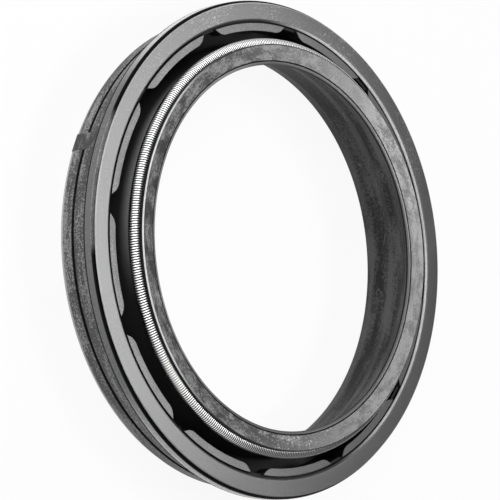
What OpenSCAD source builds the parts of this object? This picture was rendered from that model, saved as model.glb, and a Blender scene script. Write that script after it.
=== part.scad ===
// Fork dust seal: a moulded rubber ring that presses into the mouth of a fork's outer tube.
// Its sprung wiper lip stands above the flange and cleans the inner tube that slides through it.

/* [Fit] */
// Diameter of the fork tube that slides through the lip
tube_d = 43; // [42:0.1:44]
// How much smaller than the tube the free lip is, on the diameter
lip_grip = 0.8; // [0.4:0.1:1.2]
// Diameter of the body that presses into the housing
body_d = 54.7; // [54:0.1:55.8]
// Diameter of the flange's rim, which stops on the housing
flange_d = 57.6; // [57.2:0.1:60]

/* [Body] */
// Height of the press-in body below the flange
body_h = 5.5; // [4.8:0.1:7]
// Thickness of the body's outer wall beside the channel
wall_t = 1.35; // [1:0.05:1.6]
// Height of the channel's floor above the bottom face
floor_h = 3.5; // [2.8:0.1:4]
// Radius of the fillets at the channel's floor
floor_fillet = 0.5; // [0.2:0.05:0.8]
// Height of the body's groove above the bottom face
groove_h = 2.25; // [1.6:0.05:3]
// Width of the body's groove
groove_w = 0.42; // [0.2:0.02:0.6]
// Depth of the body's groove
groove_depth = 0.45; // [0.2:0.05:0.7]
// Height of the lead-in taper at the bottom
lead_in_h = 0.75; // [0.4:0.01:1]
// Width of the lead-in taper
lead_in_w = 0.38; // [0.2:0.01:0.8]
// Width of the moulded bridge that crosses the groove and the taper
bridge_w = 2.1; // [1:0.1:3]
// Height of the lead-in taper across the bridge
bridge_taper_h = 0.43; // [0.2:0.01:0.6]
// Direction of the bridge round the axis, in degrees
bridge_angle = 239; // [0:1:359]

/* [Flange] */
// Thickness of the flange
flange_t = 1.7; // [1.5:0.05:2.6]
// Height of the flange's rim
rim_h = 1.27; // [0.9:0.01:1.4]
// Bevel at the foot of the flange's rim
rim_bevel = 0.12; // [0.05:0.01:0.3]
// How far the front face's edge stands back from the flange's rim
front_setback = 0.2; // [0.1:0.01:0.4]
// Thickness of the front face's edge above the rim's groove
front_edge_t = 0.24; // [0.2:0.01:0.4]
// Depth of the groove behind the front face's edge
rim_groove_depth = 0.5; // [0.3:0.05:0.9]
// Depth of that groove below the top of the flange's rim
rim_groove_fall = 0.15; // [0.05:0.01:0.4]
// Width of the ledge inside the front face, which carries the tabs
ledge_w = 0.37; // [0.25:0.01:0.6]
// Depth of the ledge below the front face
ledge_depth = 0.55; // [0.35:0.05:0.9]
// Width of the bevel at the front face's inner edge
bevel_w = 0.16; // [0.1:0.01:0.5]
// Depth of the bevel at the front face's inner edge
bevel_depth = 0.3; // [0.1:0.01:0.34]

/* [Tabs] */
// Number of moulded tabs round the channel's mouth
tab_count = 12; // [8:1:16]
// Reach of a tab from its root towards the lip
tab_reach = 0.91; // [0.6:0.01:1.1]
// Gap between the roots of two neighbouring tabs
tab_gap = 2; // [1:0.1:4]
// Slant of a tab's ends from the radial direction, in degrees
tab_slant = 44; // [10:1:55]
// Radius of a tab's free corners
tab_round = 1.4; // [0.2:0.05:1.6]
// Thickness of a tab
tab_t = 1.6; // [1:0.1:2.4]
// Depth of a tab's face below the front face
tab_drop = 0.18; // [0.05:0.01:0.3]
// Width of the crease between a tab's root and the front face
crease_w = 0.19; // [0.1:0.01:0.22]

/* [Wiper lip] */
// Height of the lip's rim above the front face
lip_rise = 2.26; // [1.8:0.02:3]
// Width of the lip from its sealing edge to its rim
lip_w = 2.35; // [2:0.05:2.5]
// Fall of the lip's face from its rim to its sealing edge
lip_fall = 0.52; // [0.3:0.02:0.8]
// Height of the sealing land
lip_land = 0.3; // [0.25:0.01:0.6]
// Thickness of the rim above the spring
lip_rim_t = 0.45; // [0.3:0.01:0.6]
// Width of the sealing ridge, up to the fine line on the lip's face
ridge_w = 0.42; // [0.3:0.01:0.7]
// Width of the fine line on the lip's face
line_w = 0.16; // [0.08:0.01:0.2]
// Depth of the fine line on the lip's face
line_depth = 0.14; // [0.05:0.01:0.2]
// Width of the undercut below the sealing land
undercut_w = 0.8; // [0.5:0.05:1]
// Height of the undercut below the sealing land
undercut_h = 0.85; // [0.5:0.05:1]
// Thickness of the neck that carries the lip
neck_t = 0.9; // [0.75:0.01:1]
// Widening of the bore from the undercut to the bottom, on the radius
bore_flare = 1.68; // [0.8:0.02:2]

/* [Garter spring] */
// Outside diameter of the spring's close-wound coil
spring_d = 1.6; // [1.4:0.05:1.7]
// Play between the spring and its seat
spring_play = 0.03; // [0.01:0.01:0.08]

/* [Edges] */
// Radius of the small moulded edges
edge_r = 0.15; // [0.05:0.01:0.18]
// Bevel of the sealing edge
lip_edge = 0.08; // [0.03:0.01:0.15]
// Radius of the bore's bottom edge
bottom_r = 0.4; // [0.2:0.05:0.6]

/* [Hidden] */
$fn = 180;
arc_steps = 6;
tip_steps = 8;
over = 1;

body_r = body_d / 2;
flange_r = flange_d / 2;
front_r = flange_r - front_setback;
wall_r = body_r - wall_t;
face_in_r = wall_r + ledge_w;
face_z = body_h + flange_t;
ledge_z = face_z - ledge_depth;
rim_z = body_h + rim_h;
front_foot_z = face_z - front_edge_t;
tab_z = face_z - tab_drop;
tab_root_r = face_in_r - crease_w;
tab_tip_r = tab_root_r - tab_reach;

lip_r = (tube_d - lip_grip) / 2;
lip_rim_r = lip_r + lip_w;
lip_rim_z = face_z + lip_rise;
land_top = lip_rim_z - lip_fall;
land_foot = land_top - lip_land;
throat_r = lip_r + undercut_w;
throat_z = land_foot - undercut_h;
bore_r = throat_r + bore_flare;
spring_seat_r = spring_d / 2 + spring_play;
spring_z = lip_rim_z - lip_rim_t - spring_seat_r;

// Slope of the neck, which widens towards the bottom with the bore
neck_slope = bore_flare / (throat_z - bottom_r);
function neck_r(z) = throat_r + neck_t + (throat_z - z) * neck_slope;

// Height of the lip's face at a radius
function lip_face_z(r) = lip_rim_z - lip_fall * (lip_rim_r - r) / lip_w;

// Points along an arc about a centre, from one angle to another
function arc(centre, r, from, to) =
    [for (i = [0:arc_steps]) let (a = from + (to - from) * i / arc_steps) centre + r * [cos(a), sin(a)]];

// Point at a radius and a direction
function polar(r, a) = r * [cos(a), sin(a)];

// Outline of the body and flange, from the bore's bottom edge out and up to the channel
function body_points() = concat(
    arc([bore_r + bottom_r, bottom_r], bottom_r, 180, 270),
    [[body_r, 0], [body_r, body_h], [flange_r - rim_bevel, body_h], [flange_r, body_h + rim_bevel]],
    [[flange_r, rim_z], [front_r - rim_groove_depth, rim_z - rim_groove_fall], [front_r, front_foot_z]],
    arc([front_r - edge_r, face_z - edge_r], edge_r, 0, 90),
    [[face_in_r + bevel_w, face_z], [face_in_r, face_z - bevel_depth]],
    [[face_in_r, ledge_z], [wall_r, ledge_z]]);

// Outline of the channel's floor, from the flange's wall to the foot of the neck
function channel_points() = concat(
    arc([wall_r - floor_fillet, floor_h + floor_fillet], floor_fillet, 0, -90),
    arc([neck_r(floor_h) + floor_fillet, floor_h + floor_fillet], floor_fillet, 270, 180));

// Outline of the neck and lip, from the neck's outer wall round to the throat of the bore
function lip_points() = concat(
    [[neck_r(spring_z), spring_z], [lip_rim_r, spring_z]],
    arc([lip_rim_r - edge_r, lip_rim_z - edge_r], edge_r, 0, 90),
    [for (k = [1, 0, -1]) let (r = lip_r + ridge_w + k * line_w / 2)
        [r, lip_face_z(r) - (k == 0 ? line_depth : 0)]],
    [[lip_r + lip_edge, lip_face_z(lip_r + lip_edge)], [lip_r, land_top - lip_edge]],
    [[lip_r, land_foot], [throat_r, throat_z]]);

// Section of the seal, with the spring's seat cut out
module seal_section() {
    difference() {
        polygon(concat(body_points(), channel_points(), lip_points()));
        translate([lip_rim_r, spring_z])
            circle(r = spring_seat_r);
    }
}

// Section of a lead-in taper of a height, to be cut from the body's bottom edge
module taper_section(h) {
    translate([body_r, 0])
        polygon([[-lead_in_w * (1 + over / h), -over], [over, -over], [over, h], [0, h]]);
}

// Section of the body's groove, narrower at its floor
module groove_section() {
    translate([body_r, groove_h])
        polygon([[over, groove_w / 2], [0, groove_w / 2], [-groove_depth, groove_w / 4],
            [-groove_depth, -groove_w / 4], [0, -groove_w / 2], [over, -groove_w / 2]]);
}

// Groove and lead-in taper round the body. The bridge fills the groove and has a shorter taper.
module body_cuts() {
    rotate_extrude()
        taper_section(bridge_taper_h);
    difference() {
        rotate_extrude() {
            groove_section();
            taper_section(lead_in_h);
        }
        rotate(bridge_angle)
            translate([body_r - wall_t, -bridge_w / 2, -2 * over])
                cube([wall_t + 2 * over, bridge_w, body_h + 2 * over]);
    }
}

// One tab, with slanted ends and round free corners, pointing along +X
module tab() {
    root_half = 180 / tab_count - asin(tab_gap / 2 / tab_root_r);
    tip_half = root_half - atan(tab_reach * tan(tab_slant) / tab_tip_r);
    turn = 90 - tab_slant;
    corner_half = tip_half - atan(tab_round * tan(turn / 2) / tab_tip_r);
    corner = polar(tab_tip_r + tab_round, corner_half);
    free_corner = arc(corner, tab_round, 180 + corner_half, 180 + corner_half - turn);
    tip = [for (i = [1:tip_steps - 1]) polar(tab_tip_r, corner_half * (2 * i / tip_steps - 1))];
    root = [for (i = [0:tip_steps]) polar(tab_root_r, root_half * (1 - 2 * i / tip_steps))];
    mirrored_corner = [for (i = [arc_steps:-1:0]) [free_corner[i][0], -free_corner[i][1]]];
    translate([0, 0, tab_z - tab_t])
        linear_extrude(tab_t)
            polygon(concat(mirrored_corner, tip, free_corner, root));
}

module seal_ring() {
    color("#3a3a3c")
        difference() {
            union() {
                rotate_extrude()
                    seal_section();
                for (i = [0:tab_count - 1])
                    rotate(360 / tab_count * i)
                        tab();
            }
            body_cuts();
        }
}

module garter_spring() {
    color("#d4d6d8")
        translate([0, 0, spring_z])
            rotate_extrude()
                translate([lip_rim_r, 0])
                    circle(d = spring_d);
}

seal_ring();
garter_spring();
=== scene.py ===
import math

import bmesh
import bpy
from mathutils import Matrix, Vector


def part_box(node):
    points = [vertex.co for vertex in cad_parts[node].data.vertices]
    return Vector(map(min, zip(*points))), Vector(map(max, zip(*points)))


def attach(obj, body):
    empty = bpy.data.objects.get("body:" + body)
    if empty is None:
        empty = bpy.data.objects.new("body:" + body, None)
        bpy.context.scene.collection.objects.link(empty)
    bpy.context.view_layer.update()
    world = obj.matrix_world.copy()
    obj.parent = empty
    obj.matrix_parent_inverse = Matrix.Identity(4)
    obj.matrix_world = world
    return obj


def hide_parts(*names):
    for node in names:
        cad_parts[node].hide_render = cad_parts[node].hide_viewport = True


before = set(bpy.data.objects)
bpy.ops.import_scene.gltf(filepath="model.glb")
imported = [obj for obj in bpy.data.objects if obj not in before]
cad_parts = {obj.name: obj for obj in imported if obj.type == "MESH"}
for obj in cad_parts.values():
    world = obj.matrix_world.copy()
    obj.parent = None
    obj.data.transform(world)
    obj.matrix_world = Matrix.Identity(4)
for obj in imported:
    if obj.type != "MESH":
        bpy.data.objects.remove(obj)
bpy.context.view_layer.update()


# Seal ring: one moulding of nitrile rubber, with the press-in body, the flange, the neck and the
# wiper lip in a single section. It is traced as an outline, its corners are rounded as a mould
# rounds them, and the section is spun about the axis.

# Sizes are written in millimetres, and meshes are in metres.
MM = 0.001

ring_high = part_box("seal_ring")[1]
flange_r = ring_high.x / MM
lip_rim_z = ring_high.z / MM

lip_rise = 2.26
flange_t = 1.7
flange_overhang = 1.45
face_z = lip_rim_z - lip_rise
body_h = face_z - flange_t
body_r = flange_r - flange_overhang
lead_in_h = 0.75
lead_in_w = 0.38
groove_h = 2.25
groove_w = 0.42
groove_depth = 0.45

rim_h = 1.27
# Height of the dark line painted along the rim's foot as shade under the flange
shade_line_h = 0.28
front_setback = 0.28
front_edge_t = 0.14
rim_groove_depth = 0.5
rim_groove_fall = 0.15
rim_z = body_h + rim_h
front_r = flange_r - front_setback
front_foot_z = face_z - front_edge_t
rim_groove_r = front_r - rim_groove_depth
rim_groove_z = rim_z - rim_groove_fall

wall_t = 1.35
floor_h = 3.5
ledge_w = 0.37
ledge_depth = 0.55
bevel_w = 0.24
bevel_depth = 0.22
wall_r = body_r - wall_t
face_in_r = wall_r + ledge_w
ledge_z = face_z - ledge_depth

lip_r = 21.1
lip_w = 2.35
lip_fall = 0.52
lip_land = 0.3
undercut_w = 0.8
undercut_h = 0.85
ridge_w = 0.42
line_w = 0.16
line_depth = 0.14
lip_rim_r = lip_r + lip_w
land_top = lip_rim_z - lip_fall
land_foot = land_top - lip_land
throat_r = lip_r + undercut_w
throat_z = land_foot - undercut_h

# The bore widens in three flares with straight bands between them. Each corner is its radius past
# the throat and its height.
bore_corners = [(0.55, 6.4), (0.58, 5.35), (1.14, 3.95), (1.2, 1.8)]
bore_flare = 1.68
bore_r = throat_r + bore_flare
bottom_round = 0.4
neck_t = 0.9
neck_slope = (bore_r - throat_r) / (throat_z - bottom_round)

spring_d = 1.6
spring_play = 0.03
lip_rim_t = 0.45
seat_r = spring_d / 2 + spring_play
seat_steps = 12
spring_z = lip_rim_z - lip_rim_t - seat_r


def neck_r(z):
    """Outer radius of the neck at a height: it widens downwards with the bore."""
    return throat_r + neck_t + (throat_z - z) * neck_slope


def lip_face_z(r):
    """Height of the lip's face, which falls towards the sealing edge."""
    return lip_rim_z - lip_fall * (lip_rim_r - r) / (lip_rim_r - lip_r)


def seat_points():
    """Arc of the spring's seat, from the neck's outer wall up to the rim of the lip."""
    start = math.pi + math.acos((lip_rim_r - neck_r(spring_z)) / seat_r)
    turns = [start + (math.pi / 2 - start) * i / seat_steps for i in range(seat_steps + 1)]
    return [(lip_rim_r + seat_r * math.cos(a), spring_z + seat_r * math.sin(a), 0) for a in turns]


def line_points():
    """Three points of the fine line moulded into the lip's face beside the sealing ridge."""
    middle = lip_r + ridge_w
    radii = [middle + line_w / 2, middle, middle - line_w / 2]
    drops = [0, line_depth, 0]
    return [(r, lip_face_z(r) - drop, 0) for r, drop in zip(radii, drops)]


# Roundings that the mould gives the corners
small_round = 0.08
lead_in_round = 0.12
rim_round = 0.12
front_foot_round = 0.03
front_round = 0.11
ledge_round = 0.05
floor_round = 0.5
lip_rim_round = 0.15
sealing_round = 0.1
land_round = 0.05
throat_round = 0.3
bore_round = 0.15

# Each corner of the section is a radius, a height and the rounding of that corner.
section = [
    (bore_r, 0, bottom_round),
    (body_r - lead_in_w, 0, small_round),
    (body_r, lead_in_h, lead_in_round),
    (body_r, groove_h - groove_w / 2, small_round),
    (body_r - groove_depth, groove_h - groove_w / 4, 0),
    (body_r - groove_depth, groove_h + groove_w / 4, 0),
    (body_r, groove_h + groove_w / 2, small_round),
    (body_r, body_h, 0),
    (flange_r, body_h, rim_round),
    (flange_r, body_h + shade_line_h, 0),
    (flange_r, rim_z, small_round),
    (rim_groove_r, rim_groove_z, 0),
    (front_r, front_foot_z, front_foot_round),
    (front_r, face_z, front_round),
    (face_in_r + bevel_w, face_z, front_round),
    (face_in_r, face_z - bevel_depth, small_round),
    (face_in_r, ledge_z, 0),
    (wall_r, ledge_z, ledge_round),
    (wall_r, floor_h, floor_round),
    (neck_r(floor_h), floor_h, floor_round),
    *seat_points(),
    (lip_rim_r, lip_rim_z, lip_rim_round),
    *line_points(),
    (lip_r, land_top, sealing_round),
    (lip_r, land_foot, land_round),
    (throat_r, throat_z, throat_round),
    *[(throat_r + wider, z, bore_round) for wider, z in bore_corners],
]

# Points closer than this are one point.
same_spot = 0.001 * MM


def trace(name, corners):
    """New object whose outline runs through the corners, given in metres, closed and filled."""
    bpy.ops.object.select_all(action="DESELECT")
    bpy.ops.mesh.primitive_plane_add(size=MM)
    bpy.context.object.name = name
    bpy.ops.object.mode_set(mode="EDIT")
    bpy.ops.mesh.select_mode(type="VERT")
    bpy.ops.mesh.merge(type="CENTER")
    bpy.ops.transform.translate(value=corners[0])
    for here, there in zip(corners, corners[1:] + corners[:1]):
        step = Vector(there) - Vector(here)
        bpy.ops.mesh.extrude_region_move(TRANSFORM_OT_translate={"value": step})
    bpy.ops.mesh.select_all(action="SELECT")
    bpy.ops.mesh.remove_doubles(threshold=same_spot)
    bpy.ops.mesh.edge_face_add()
    return bpy.context.object


def select(piece, kind, keep):
    """Selects the vertices, edges or faces that keep() takes, in edit mode."""
    mesh = bmesh.from_edit_mesh(piece.data)
    bpy.ops.mesh.select_all(action="DESELECT")
    for part in getattr(mesh, kind):
        part.select_set(bool(keep(part)))
    mesh.select_flush_mode()
    bmesh.update_edit_mesh(piece.data)


def round_corners(piece, corners, rounding, segments):
    """Rounds those corners of a flat outline, each given as a point in metres."""
    spots = [Vector(c) for c in corners]
    bpy.ops.mesh.select_mode(type="VERT")
    select(piece, "verts", lambda v: any((v.co - s).length < 2 * same_spot for s in spots))
    bpy.ops.mesh.bevel(offset=rounding * MM, segments=segments, affect="VERTICES")


spin_steps = 360
round_steps = 3
wide_round = 0.2
wide_round_steps = 5

seal = trace("seal_ring_rubber", [(r * MM, 0, z * MM) for r, z, _ in section])
for rounding in sorted({size for _, _, size in section} - {0}):
    spots = [(r * MM, 0, z * MM) for r, z, size in section if size == rounding]
    steps = wide_round_steps if rounding > wide_round else round_steps
    round_corners(seal, spots, rounding, steps)
bpy.ops.mesh.select_all(action="SELECT")
bpy.ops.mesh.delete(type="ONLY_FACE")
bpy.ops.mesh.select_all(action="SELECT")
bpy.ops.mesh.spin(steps=spin_steps, angle=2 * math.pi, center=(0, 0, 0), axis=(0, 0, 1))
bpy.ops.mesh.select_all(action="SELECT")
bpy.ops.mesh.remove_doubles(threshold=same_spot)
bpy.ops.mesh.normals_make_consistent(inside=False)
bpy.ops.object.mode_set(mode="OBJECT")


# Tabs and bridge: twelve pads moulded on the ledge round the channel's mouth, with slanted ends and
# round free corners, and one short bridge across the body's groove. They are the same rubber, so
# they are united with the ring.

tab_count = 12
crease_w = 0.19
tab_reach = 0.91
tab_drop = 0.18
tab_t = 1.6
tab_gap = 2.0
tab_slant = math.radians(44)
tab_round = 0.62
tab_round_steps = 6
tab_edge = 0.07
edge_steps = 2
arc_steps = 10
tab_root_r = face_in_r - crease_w
tab_tip_r = tab_root_r - tab_reach
tab_z = face_z - tab_drop

root_half = math.pi / tab_count - math.asin(tab_gap / 2 / tab_root_r)
tip_half = root_half - (tab_root_r - tab_tip_r) * math.tan(tab_slant) / tab_tip_r

# A point this far short of a face still counts as lying on it.
face_slack = 0.01


def arc_points(r, start, end, z):
    """Points in metres along an arc about the ring's axis."""
    turns = [start + (end - start) * i / arc_steps for i in range(arc_steps + 1)]
    return [(r * MM * math.cos(a), r * MM * math.sin(a), z * MM) for a in turns]


tab_tip = arc_points(tab_tip_r, -tip_half, tip_half, tab_z)
tab_root = arc_points(tab_root_r, root_half, -root_half, tab_z)
tabs = trace("tabs", tab_tip + tab_root)
round_corners(tabs, [tab_tip[0], tab_tip[-1]], tab_round, tab_round_steps)
bpy.ops.mesh.select_all(action="SELECT")
bpy.ops.mesh.extrude_region_move(TRANSFORM_OT_translate={"value": (0, 0, -tab_t * MM)})
bpy.ops.mesh.select_all(action="SELECT")
bpy.ops.mesh.normals_make_consistent(inside=False)
bpy.ops.mesh.select_mode(type="EDGE")
select(tabs, "edges", lambda e: all(v.co.z > (tab_z - face_slack) * MM for v in e.verts))
bpy.ops.mesh.bevel(offset=tab_edge * MM, segments=edge_steps, affect="EDGES")
bpy.ops.mesh.select_all(action="SELECT")
step = 2 * math.pi / tab_count
bpy.ops.mesh.spin(
    steps=tab_count - 1, dupli=True, angle=2 * math.pi - step, center=(0, 0, 0), axis=(0, 0, 1)
)
bpy.ops.object.mode_set(mode="OBJECT")

bridge_w = 2.1
bridge_proud = 0.04
bridge_taper_h = 0.43
bridge_root = 0.9
bridge_foot_z = 0.05
bridge_top_gap = 0.1
bridge_edge = 0.06
bridge_turn = math.radians(239)
bridge_root_r = body_r - bridge_root
bridge_face_r = body_r + bridge_proud
bridge_outline = [
    (bridge_root_r, bridge_foot_z),
    (body_r - lead_in_w, bridge_foot_z),
    (bridge_face_r, bridge_taper_h),
    (bridge_face_r, body_h - bridge_top_gap),
    (bridge_root_r, body_h - bridge_top_gap),
]

bridge = trace("bridge", [(r * MM, -bridge_w / 2 * MM, z * MM) for r, z in bridge_outline])
bpy.ops.mesh.select_all(action="SELECT")
bpy.ops.mesh.extrude_region_move(TRANSFORM_OT_translate={"value": (0, bridge_w * MM, 0)})
bpy.ops.mesh.select_all(action="SELECT")
bpy.ops.mesh.normals_make_consistent(inside=False)
bpy.ops.mesh.select_mode(type="EDGE")
select(bridge, "edges", lambda e: all(v.co.x > (body_r - face_slack) * MM for v in e.verts))
bpy.ops.mesh.bevel(offset=bridge_edge * MM, segments=edge_steps, affect="EDGES")
bpy.ops.mesh.select_all(action="SELECT")
bpy.ops.transform.rotate(value=-bridge_turn, orient_axis="Z", center_override=(0, 0, 0))
bpy.ops.object.mode_set(mode="OBJECT")

smooth_below = math.radians(40)

for detail in (tabs, bridge):
    bpy.ops.object.select_all(action="DESELECT")
    bpy.context.view_layer.objects.active = seal
    seal.select_set(True)
    union = seal.modifiers.new("union", "BOOLEAN")
    union.operation = "UNION"
    union.solver = "EXACT"
    union.object = detail
    bpy.ops.object.modifier_apply(modifier="union")
    bpy.data.objects.remove(detail)
bpy.ops.object.shade_smooth_by_angle(angle=smooth_below)
flatten = seal.modifiers.new("flat_faces", "WEIGHTED_NORMAL")
flatten.keep_sharp = True
bpy.ops.object.modifier_apply(modifier="flat_faces")


# Finish of the rubber: black nitrile, satin as it leaves the mould, with a pale bloom and dust that
# lie in patches and fine grains. It is one rubber all over, and each zone of the ring wears and
# gathers dust in its own way. Some zones also carry painted light and shade: hollows are painted
# dark as shade, and some edges and sides are painted pale as highlights or as light falling there.


def linear(hex_colour):
    """Linear red, green, blue and alpha of an sRGB hex colour."""
    parts = [int(hex_colour[i : i + 2], 16) / 255 for i in (1, 3, 5)]
    return [c / 12.92 if c <= 0.04045 else ((c + 0.055) / 1.055) ** 2.4 for c in parts] + [1]


def add(tree, kind, inputs=None, **settings):
    """Adds a shader node with its settings, and its inputs as values or as other nodes' outputs."""
    new = tree.nodes.new("ShaderNode" + kind)
    for key, value in settings.items():
        setattr(new, key, value)
    for socket, value in (inputs or {}).items():
        if isinstance(value, bpy.types.NodeSocket):
            tree.links.new(value, new.inputs[socket])
        else:
            new.inputs[socket].default_value = value
    return new


smooth = {"interpolation_type": "SMOOTHSTEP"}


def ramp(value, low, high, bottom, top):
    """Inputs that map a value from one range to another, without passing its ends."""
    return {"Value": value, "From Min": low, "From Max": high, "To Min": bottom, "To Max": top}


def ring_noise(tree, along, across, detail):
    """Noise whose features are so many millimetres long round the ring, and wide across it."""
    place = add(tree, "TexCoord").outputs["Object"]
    slow = 1 / (along * MM)
    quick = 1 / (across * MM)
    scaled = add(tree, "VectorMath", {0: place, 1: (slow, slow, quick)}, operation="MULTIPLY")
    flat = add(tree, "VectorMath", {0: place, 1: (quick, quick, 0)}, operation="MULTIPLY")
    outward = add(tree, "VectorMath", {0: flat.outputs[0]}, operation="LENGTH").outputs["Value"]
    inputs = {"Vector": scaled.outputs[0], "W": outward, "Scale": 1, "Detail": detail}
    return add(tree, "TexNoise", inputs, noise_dimensions="4D").outputs[0]


def facing(tree, turn, starts, full, opposite=False):
    """Nought to one towards a direction round the ring, in degrees, between two cosines from it.

    With opposite, it is the same towards the direction that lies across the ring.
    """
    towards = (math.cos(math.radians(turn)), math.sin(math.radians(turn)), 0)
    place = add(tree, "TexCoord").outputs["Object"]
    flat = add(tree, "VectorMath", {0: place, 1: (1, 1, 0)}, operation="MULTIPLY").outputs[0]
    way = add(tree, "VectorMath", {0: flat}, operation="NORMALIZE").outputs[0]
    dot = add(tree, "VectorMath", {0: way, 1: towards}, operation="DOT_PRODUCT").outputs["Value"]
    if opposite:
        dot = add(tree, "Math", {0: dot}, operation="ABSOLUTE").outputs[0]
    return add(tree, "MapRange", ramp(dot, starts, full, 0, 1), **smooth).outputs[0]


# Real dust is finer than the render can show, so its grains are drawn as coarse as they need to
# show. Noise lies about its middle, and levels are where on it something starts and is full.
noise_middle = 0.5
patch_detail = 3
grain_detail = 2
rubber_ior = 1.52
dust_roughness = 0.15
grain_strength = 0.15
grain_h = 0.04
speck_and_glint_colour = "#d7d7d7"
speck_levels = (0.56, 0.72)
strewn_levels = (0.4, 0.65)
strewn_least = 0.15
curl = (5, 3)
curl_levels = (0.002, 0.008)
curl_breaks = (2.5, 2)
curl_break_levels = (0.52, 0.64)


def moulded_rubber(
    name,
    undusted,
    dust_and_painted_light,
    roughness,
    patch,
    grain,
    weight,
    levels,
    share,
    film=0,
    shine=0.57,
    side=None,
    height=None,
    speck_and_glint_side=None,
    scratch=0,
):
    """Nitrile rubber as it leaves a mould, satin, with a pale bloom and dust lying on it.

    The dust lies in patches, given as their length and width in millimetres, and breaks up into
    grains of a size by a weight. It starts and is full at two levels of that pattern, and its cover
    goes from an even film to a share. A side is a direction round the ring, in degrees, and the
    cosines at which the pale colour starts and is full. A height is where it starts and is full,
    in millimetres. Where a side or a height puts the pale colour where light falls, it is painted
    light rather than dust. Specks are single pale grains on a side of their own; on the tabs they
    are painted glints. Scratches are thin curls of the same dust.
    """
    material = bpy.data.materials.new(name)
    material.use_nodes = True
    tree = material.node_tree
    shader = tree.nodes["Principled BSDF"]
    patches = ring_noise(tree, *patch, patch_detail)
    grains = ring_noise(tree, grain, grain, grain_detail)
    inputs = {"Factor": weight, 2: patches, 3: grains}
    mixed = add(tree, "Mix", inputs, data_type="FLOAT").outputs[0]
    cover = add(tree, "MapRange", ramp(mixed, *levels, film, share), **smooth).outputs[0]
    # A side or a height can put the pale colour where light falls: then it is painted light.
    if side:
        lies = facing(tree, *side)
        cover = add(tree, "Math", {0: cover, 1: lies}, operation="MULTIPLY").outputs[0]
    if height:
        low, high = height
        place = add(tree, "TexCoord").outputs["Object"]
        level = add(tree, "SeparateXYZ", {0: place}).outputs["Z"]
        lies = add(tree, "MapRange", ramp(level, low * MM, high * MM, 0, 1), **smooth).outputs[0]
        cover = add(tree, "Math", {0: cover, 1: lies}, operation="MULTIPLY").outputs[0]
    if scratch:
        curls = ring_noise(tree, *curl, grain_detail)
        apart = add(tree, "Math", {0: curls, 1: noise_middle}, operation="SUBTRACT").outputs[0]
        apart = add(tree, "Math", {0: apart}, operation="ABSOLUTE").outputs[0]
        line = add(tree, "MapRange", ramp(apart, *curl_levels, scratch, 0), **smooth).outputs[0]
        breaks = ring_noise(tree, *curl_breaks, grain_detail)
        broken = add(tree, "MapRange", ramp(breaks, *curl_break_levels, 0, 1), **smooth).outputs[0]
        line = add(tree, "Math", {0: line, 1: broken}, operation="MULTIPLY").outputs[0]
        cover = add(tree, "Math", {0: cover, 1: line}, operation="MAXIMUM").outputs[0]
    inputs = {"Factor": cover, 6: linear(undusted), 7: linear(dust_and_painted_light)}
    colour = add(tree, "Mix", inputs, data_type="RGBA").outputs[2]
    # On the tabs these specks are painted glints.
    if speck_and_glint_side:
        specks_and_glints = add(tree, "MapRange", ramp(grains, *speck_levels, 0, 1), **smooth).outputs[0]
        inputs = {0: specks_and_glints, 1: facing(tree, *speck_and_glint_side)}
        specks_and_glints = add(tree, "Math", inputs, operation="MULTIPLY").outputs[0]
        inputs = ramp(patches, *strewn_levels, strewn_least, 1)
        strewn = add(tree, "MapRange", inputs, **smooth).outputs[0]
        specks_and_glints = add(tree, "Math", {0: specks_and_glints, 1: strewn}, operation="MULTIPLY").outputs[0]
        inputs = {"Factor": specks_and_glints, 6: colour, 7: linear(speck_and_glint_colour)}
        colour = add(tree, "Mix", inputs, data_type="RGBA").outputs[2]
    tree.links.new(colour, shader.inputs["Base Color"])
    inputs = ramp(mixed, *levels, roughness, roughness + dust_roughness)
    rough = add(tree, "MapRange", inputs, **smooth).outputs[0]
    tree.links.new(rough, shader.inputs["Roughness"])
    inputs = {"Height": grains, "Strength": grain_strength, "Distance": grain_h * MM}
    bump = add(tree, "Bump", inputs).outputs[0]
    tree.links.new(bump, shader.inputs["Normal"])
    shader.inputs["IOR"].default_value = rubber_ior
    shader.inputs["Specular IOR Level"].default_value = shine
    return material


# Narrow edges are painted pale in long thin streaks: painted highlights.
edge_highlight_streaks = {"patch": (9, 1), "grain": 0.3, "weight": 0.3, "levels": (0.4, 0.6)}

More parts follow.
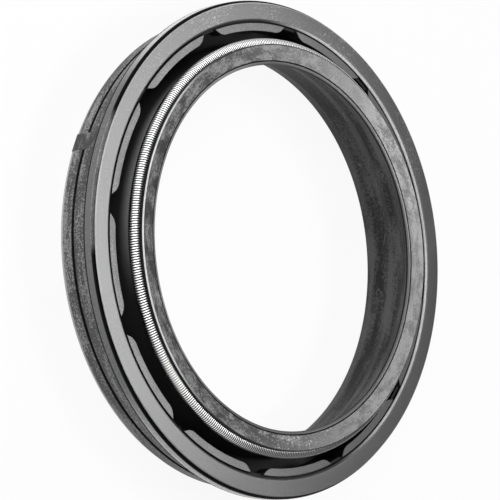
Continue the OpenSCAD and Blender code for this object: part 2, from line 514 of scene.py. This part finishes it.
zones = {
    # The front face is smooth: a satin sheen under a thin film of dust. The dust is painted paler
    #     # towards the near side, as painted light from that side.
    "face": moulded_rubber(
        "satin_face_rubber",
        undusted="#2a2a2b",
        dust_and_painted_light="#afafaf",
        roughness=0.28,
        patch=(7, 3),
        grain=0.2,
        weight=0.5,
        levels=(0.5, 0.66),
        share=0.7,
        film=0.46,
        shine=0.46,
        side=(256, -0.95, 1.05),
        speck_and_glint_side=(165, 0.3, 0.95),
    ),
    # The front face's outer edge and the lead-in taper are painted pale, most towards the near side:
    #     # a painted highlight.
    "edge": moulded_rubber(
        "painted_highlight_edge_rubber",
        undusted="#666667",
        dust_and_painted_light="#c6c6c6",
        roughness=0.3,
        share=0.9,
        film=0.5,
        side=(235, -0.2, 0.7),
        **edge_highlight_streaks,
    ),
    # The bevel inside the front face is a thin pale line on the far side: a painted highlight.
    "bevel": moulded_rubber(
        "painted_highlight_bevel_rubber",
        undusted="#414142",
        dust_and_painted_light="#f1f1f1",
        roughness=0.3,
        share=1,
        film=0.7,
        side=(95, 0.15, 0.55),
        **edge_highlight_streaks,
    ),
    # The lip's rim is painted as a thin pale line on the near side: a painted highlight.
    "lip_edge": moulded_rubber(
        "painted_highlight_lip_edge_rubber",
        undusted="#1f1f20",
        dust_and_painted_light="#f1f1f1",
        roughness=0.35,
        share=1,
        film=0.75,
        shine=0.3,
        side=(262, 0.45, 0.9),
        **edge_highlight_streaks,
    ),
    # The sealing ridge is smooth and slightly pale, and paler towards the near side: a painted
    #     # highlight on its rounded top.
    "ridge": moulded_rubber(
        "smooth_ridge_rubber",
        undusted="#505051",
        dust_and_painted_light="#acacac",
        roughness=0.3,
        share=0.6,
        film=0.3,
        side=(250, 0.2, 0.8),
        **edge_highlight_streaks,
    ),
    # The flange's rim is smooth and glossy. Its long pale streaks on two opposite sides, where it is
    #     # seen edge-on, are painted reflections.
    "rim": moulded_rubber(
        "smooth_rim_rubber",
        undusted="#646465",
        dust_and_painted_light="#f0f0f0",
        roughness=0.2,
        patch=(14, 0.8),
        grain=0.4,
        weight=0.3,
        levels=(0.4, 0.6),
        share=0.95,
        film=0.6,
        side=(172, 0.55, 0.9, True),
    ),
    # The rim's groove is dull and painted near black as shade, with one short pale stretch painted
    #     # as a highlight.
    "groove": moulded_rubber(
        "painted_shade_and_highlight_groove_rubber",
        undusted="#161618",
        dust_and_painted_light="#b1b1b1",
        roughness=0.55,
        patch=(5, 2),
        grain=0.2,
        weight=0.5,
        levels=(0.4, 0.6),
        share=0.9,
        film=0.4,
        shine=0.12,
        side=(250, 0.953, 0.975),
    ),
    # The tabs have a fine even grain, as from a blasted mould. They are painted paler towards the
    #     # near side as painted light, and their specks there are painted glints.
    "tab": moulded_rubber(
        "grainy_tab_rubber",
        undusted="#414142",
        dust_and_painted_light="#acacac",
        roughness=0.42,
        patch=(4, 3),
        grain=0.16,
        weight=0.6,
        levels=(0.44, 0.62),
        share=0.85,
        film=0.35,
        shine=0.46,
        side=(258, -0.9, 0.85),
        speck_and_glint_side=(266, 0.96, 0.985),
    ),
    # The channel, the creases and grooves, the tabs' sides, the land and the rim's foot are painted
    #     # near black: painted shade in the hollows.
    "hollow": moulded_rubber(
        "painted_shade_hollow_rubber",
        undusted="#161618",
        dust_and_painted_light="#464646",
        roughness=0.5,
        patch=(6, 2),
        grain=0.25,
        weight=0.5,
        levels=(0.5, 0.7),
        share=0.4,
        shine=0.12,
    ),
    # The neck is dull and dark. Its grey towards the spring and on one side is painted light, where
    #     # light reaches past the tabs.
    "neck": moulded_rubber(
        "painted_light_neck_rubber",
        undusted="#232324",
        dust_and_painted_light="#cfcfcf",
        roughness=0.5,
        patch=(5, 3),
        grain=0.2,
        weight=0.5,
        levels=(0.42, 0.66),
        share=1,
        film=0.75,
        shine=0.2,
        side=(222, 0.5, 0.9),
        height=(5.2, 7.6),
    ),
    # The body is scuffed all round, with grainy dust and a few curled scratches.
    "body": moulded_rubber(
        "scuffed_body_rubber",
        undusted="#343435",
        dust_and_painted_light="#b0b0b0",
        roughness=0.4,
        patch=(6, 0.8),
        grain=0.2,
        weight=0.5,
        levels=(0.46, 0.58),
        share=0.58,
        speck_and_glint_side=(205, 0.85, 0.98),
        scratch=0.5,
    ),
    # The lip's face is glossy, with mottled dust on one side.
    "lip": moulded_rubber(
        "mottled_lip_rubber",
        undusted="#323233",
        dust_and_painted_light="#9d9d9d",
        roughness=0.28,
        patch=(1.9, 1.0),
        grain=0.25,
        weight=0.45,
        levels=(0.44, 0.62),
        share=0.7,
        shine=0.64,
        side=(250, -0.6, -0.05),
        speck_and_glint_side=(358, 0.92, 0.98),
    ),
    # The bore is dark and dull, with long faint smears.
    "bore": moulded_rubber(
        "worn_dark_rubber",
        undusted="#1d1d1e",
        dust_and_painted_light="#7d7d7d",
        roughness=0.45,
        patch=(8, 1.8),
        grain=0.2,
        weight=0.35,
        levels=(0.44, 0.6),
        share=0.5,
        shine=0.15,
        scratch=0.6,
    ),
    # The bridge is darker than the body, with small pale marks.
    "bridge": moulded_rubber(
        "scratched_bridge_rubber",
        undusted="#2a2a2b",
        dust_and_painted_light="#a6a6a6",
        roughness=0.4,
        patch=(1.6, 0.6),
        grain=0.18,
        weight=0.3,
        levels=(0.48, 0.62),
        share=0.5,
        shine=0.5,
        scratch=0.7,
    ),
}

# How far each zone reaches from the edges that bound it
zone_slack = 0.02
fine_slack = 0.003
front_edge_reach = 0.2
groove_from_rim = 0.06
groove_from_top = 0.07
taper_from = 0.05
taper_in = 0.1
groove_side = 0.03
tab_side_h = 0.3
tab_root_edge = 0.04
lip_edge_w = 0.16
lip_edge_h = 0.25
neck_skin = 0.06
neck_foot = 0.4
bevel_slack = 0.004


def outer_zone(r, z):
    """Zone on the outside of the ring: the flange's face, edge, rim and groove, or the body."""
    if z > front_foot_z - zone_slack:
        on_edge = r > front_r - front_edge_reach and z < face_z - fine_slack
        return "edge" if on_edge else "face"
    in_rim_groove = r < flange_r - groove_from_rim or z > rim_z - groove_from_top
    if z > rim_groove_z - zone_slack and in_rim_groove:
        return "groove"
    if r > body_r + zone_slack:
        if z < body_h - zone_slack:
            return "bridge"
        # The rim's wall below this line takes the hollows' black: a painted shade line under the
        # flange.
        return "rim" if z > body_h + shade_line_h else "hollow"
    if taper_from < z < lead_in_h and r < body_r - taper_in:
        return "edge"
    in_groove = abs(z - groove_h) < groove_w / 2 + zone_slack
    return "hollow" if in_groove and r < body_r - groove_side else "body"


def inner_zone(r, z):
    """Zone inside the channel's mouth: tabs, lip, bore or the channel itself."""
    line_r = lip_r + ridge_w
    if r > tab_tip_r - zone_slack:
        on_tab = z > tab_z - tab_side_h and r < tab_root_r - tab_root_edge
        return "tab" if on_tab else "hollow"
    if r < lip_r + zone_slack and z > land_foot:
        return "hollow"
    if r > lip_rim_r - lip_edge_w and z > lip_rim_z - lip_edge_h:
        return "lip_edge"
    if abs(r - line_r) < line_w / 2 and z > land_foot:
        return "hollow"
    if r < lip_rim_r - fine_slack and z > spring_z + seat_r + zone_slack:
        return "lip"
    if r < line_r and z > land_foot:
        return "ridge"
    if abs(r - neck_r(z)) < neck_skin and floor_h + neck_foot < z < spring_z:
        return "neck"
    if r < neck_r(z) - neck_t / 2 and z < land_foot + zone_slack:
        return "bore"
    return "hollow"


def zone_of(centre):
    """Zone of the ring that a face's centre lies in, by its radius and height."""
    r = math.hypot(centre.x, centre.y) / MM
    z = centre.z / MM
    if face_in_r + bevel_slack < r < face_in_r + bevel_w and ledge_z < z < face_z - fine_slack:
        return "bevel"
    if r > face_in_r + zone_slack or z < face_slack:
        return outer_zone(r, z)
    return inner_zone(r, z)


for material in zones.values():
    seal.data.materials.append(material)
zone_index = {zone: i for i, zone in enumerate(zones)}
for face in seal.data.polygons:
    face.material_index = zone_index[zone_of(face.center)]

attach(seal, "root")
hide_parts("seal_ring")


# Garter spring: bright drawn steel wire, close wound into a long coil whose ends are joined into a
# ring. It lies in the seat under the lip's rim and pulls the lip onto the tube. The wire is drawn
# thinner than its pitch, so that the turns stay apart in the render.

spring_turns = 530
turn_steps = 20
wire_share = 0.78
ring_length = 2 * math.pi * lip_rim_r
wire_d = wire_share * ring_length / spring_turns
coil_r = (spring_d - wire_d) / 2

bpy.ops.object.select_all(action="DESELECT")
coil_path = bpy.data.curves.new("garter_spring_wire", "CURVE")
coil_path.dimensions = "3D"
coil_path.bevel_depth = wire_d / 2 * MM
coil_path.bevel_resolution = 2
wire = coil_path.splines.new("POLY")
wire.points.add(spring_turns * turn_steps - 1)
for i, point in enumerate(wire.points):
    around = 2 * math.pi * i / len(wire.points)
    winding = -2 * math.pi * i / turn_steps
    r = lip_rim_r + coil_r * math.cos(winding)
    z = spring_z + coil_r * math.sin(winding)
    point.co = (r * math.cos(around) * MM, r * math.sin(around) * MM, z * MM, 1)
wire.use_cyclic_u = True
spring = bpy.data.objects.new("garter_spring_wire", coil_path)
bpy.context.collection.objects.link(spring)
bpy.context.view_layer.objects.active = spring
spring.select_set(True)
bpy.ops.object.convert(target="MESH")
spring = bpy.context.object
bpy.ops.object.shade_smooth()

wire_colour = "#fafafa"
painted_shade_colour = "#404041"
wire_roughness = 0.2
# How far below the coil's crest the painted shade between the turns starts and is full
shade_starts = 0.03
shade_full = 0.075
shade_side = (12, 0.6, 0.95)
shade_side_most = 0.7


def drawn_steel():
    """Bright drawn spring wire: bright on its crests, with painted shade between the turns.

    The same dark is painted on one stretch of the ring as shade.
    """
    material = bpy.data.materials.new("drawn_spring_steel")
    material.use_nodes = True
    tree = material.node_tree
    shader = tree.nodes["Principled BSDF"]
    place = add(tree, "TexCoord").outputs["Object"]
    flat = add(tree, "VectorMath", {0: place, 1: (1, 1, 0)}, operation="MULTIPLY").outputs[0]
    outward = add(tree, "VectorMath", {0: flat}, operation="LENGTH").outputs["Value"]
    level = add(tree, "SeparateXYZ", {0: place}).outputs["Z"]
    spot = add(tree, "CombineXYZ", {"X": outward, "Y": level}).outputs[0]
    inputs = {0: spot, 1: (lip_rim_r * MM, spring_z * MM, 0)}
    from_middle = add(tree, "VectorMath", inputs, operation="DISTANCE").outputs["Value"]
    crest = spring_d / 2 * MM
    inputs = ramp(from_middle, crest - shade_full * MM, crest - shade_starts * MM, 1, 0)
    shade_between_turns = add(tree, "MapRange", inputs, **smooth).outputs[0]
    # The film is that painted shade on one stretch of the ring.
    inputs = ramp(facing(tree, *shade_side), 0, 1, 0, shade_side_most)
    film = add(tree, "MapRange", inputs, **smooth).outputs[0]
    painted_shade = add(tree, "Math", {0: shade_between_turns, 1: film}, operation="MAXIMUM").outputs[0]
    inputs = {"Factor": painted_shade, 6: linear(wire_colour), 7: linear(painted_shade_colour)}
    colour = add(tree, "Mix", inputs, data_type="RGBA").outputs[2]
    tree.links.new(colour, shader.inputs["Base Color"])
    shader.inputs["Metallic"].default_value = 1
    shader.inputs["Roughness"].default_value = wire_roughness
    return material


spring.data.materials.append(drawn_steel())
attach(spring, "root")
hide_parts("garter_spring")


# Floor: a plain white table that the ring lies on. The camera sees it as white paper, and it still
# takes the ring's soft shadow.

floor_size = 4
paper_share = 0.92


def looked_at(tree):
    """One on rays from the camera, off a shiny face or through a clear one, and nought on others."""
    rays = add(tree, "LightPath").outputs
    inputs = {0: rays["Is Camera Ray"], 1: rays["Is Glossy Ray"]}
    seen = add(tree, "Math", inputs, operation="MAXIMUM").outputs[0]
    inputs = {0: seen, 1: rays["Is Transmission Ray"]}
    return add(tree, "Math", inputs, operation="MAXIMUM").outputs[0]


bpy.ops.object.select_all(action="DESELECT")
bpy.ops.mesh.primitive_plane_add(size=floor_size)
floor = bpy.context.object
floor.name = "floor"
paper = bpy.data.materials.new("white_paper")
paper.use_nodes = True
tree = paper.node_tree
tree.nodes.clear()
inputs = {0: looked_at(tree), 1: paper_share}
shown = add(tree, "Math", inputs, operation="MULTIPLY").outputs[0]
lit = add(tree, "BsdfDiffuse", {"Color": linear("#f4f4f4")}).outputs[0]
glow = add(tree, "Emission", {"Color": linear("#ffffff"), "Strength": 1}).outputs[0]
mixed = add(tree, "MixShader", {0: shown, 1: lit, 2: glow}).outputs[0]
add(tree, "OutputMaterial", {"Surface": mixed})
floor.data.materials.append(paper)


# Camera: the photograph's own view, a long lens that looks down on the ring and is turned on its
# side, so that the ring seems to stand. Directions are in degrees.

view_aim = Vector((-0.137, -4.244, face_z)) * MM
view_distance = 395.93 * MM
view_turn = -89.39
view_rise = 43.606
view_roll = math.radians(83.44)
lens_length = 249.64
sensor_w = 36
nearest_seen = 0.01


def way_of(turn, rise):
    """Unit vector in a direction round the ring and above the table, in degrees."""
    turn = math.radians(turn)
    rise = math.radians(rise)
    return Vector((math.cos(rise) * math.cos(turn), math.cos(rise) * math.sin(turn), math.sin(rise)))


back = way_of(view_turn, view_rise)
level = way_of(view_turn + 90, 0)
upright = back.cross(level)
view_right = math.cos(view_roll) * level + math.sin(view_roll) * upright
view_up = back.cross(view_right)

camera_data = bpy.data.cameras.new("camera")
camera_data.sensor_width = sensor_w
camera_data.lens = lens_length
camera_data.clip_start = nearest_seen
camera = bpy.data.objects.new("camera", camera_data)
bpy.context.collection.objects.link(camera)
view_axes = Matrix((view_right, view_up, back)).transposed().to_4x4()
camera.matrix_world = Matrix.Translation(view_aim + back * view_distance) @ view_axes
bpy.context.scene.camera = camera


# Light: soft boxes round the table and a dim room. Each box stands in a direction round the ring and
# above the table, in degrees, at a distance in millimetres, and faces the ring. The room adds a
# little light, and its paler side shows only in reflections.

room_light = 0.06
room_shown = (0.15, 1)
room_pale_side = (262, -0.3, 0.6)


def soft_box(name, turn, rise, distance, width, height, power):
    """Area lamp of a width and a height that faces the ring's middle."""
    lamp = bpy.data.lights.new(name, "AREA")
    lamp.shape = "RECTANGLE"
    lamp.size = width * MM
    lamp.size_y = height * MM
    lamp.energy = power
    box = bpy.data.objects.new(name, lamp)
    bpy.context.collection.objects.link(box)
    way = way_of(turn, rise)
    middle = Vector((0, 0, face_z * MM))
    box.location = middle + way * distance * MM
    box.rotation_euler = (-way).to_track_quat("-Z", "Y").to_euler()


soft_box("far_strip", turn=94, rise=53, distance=260, width=98, height=90, power=0.21)
soft_box("top_strip", turn=70, rise=62, distance=260, width=100, height=60, power=0.16)
soft_box("near_panel", turn=240, rise=28, distance=150, width=150, height=150, power=0.11)
soft_box("side_panel", turn=178, rise=33, distance=260, width=140, height=140, power=0.07)
soft_box("ceiling", turn=250, rise=58, distance=220, width=320, height=130, power=0.165)

world = bpy.data.worlds.new("dim_room")
bpy.context.scene.world = world
world.use_nodes = True
tree = world.node_tree
tree.nodes.clear()
seen = looked_at(tree)
inputs = ramp(facing(tree, *room_pale_side), 0, 1, *room_shown)
shown = add(tree, "MapRange", inputs, **smooth).outputs[0]
inputs = {"Factor": seen, 2: room_light, 3: shown}
strength = add(tree, "Mix", inputs, data_type="FLOAT").outputs[0]
glow = add(tree, "Background", {"Color": linear("#ffffff"), "Strength": strength}).outputs[0]
add(tree, "OutputWorld", {"Surface": glow})

bpy.context.scene.view_settings.view_transform = "Standard"
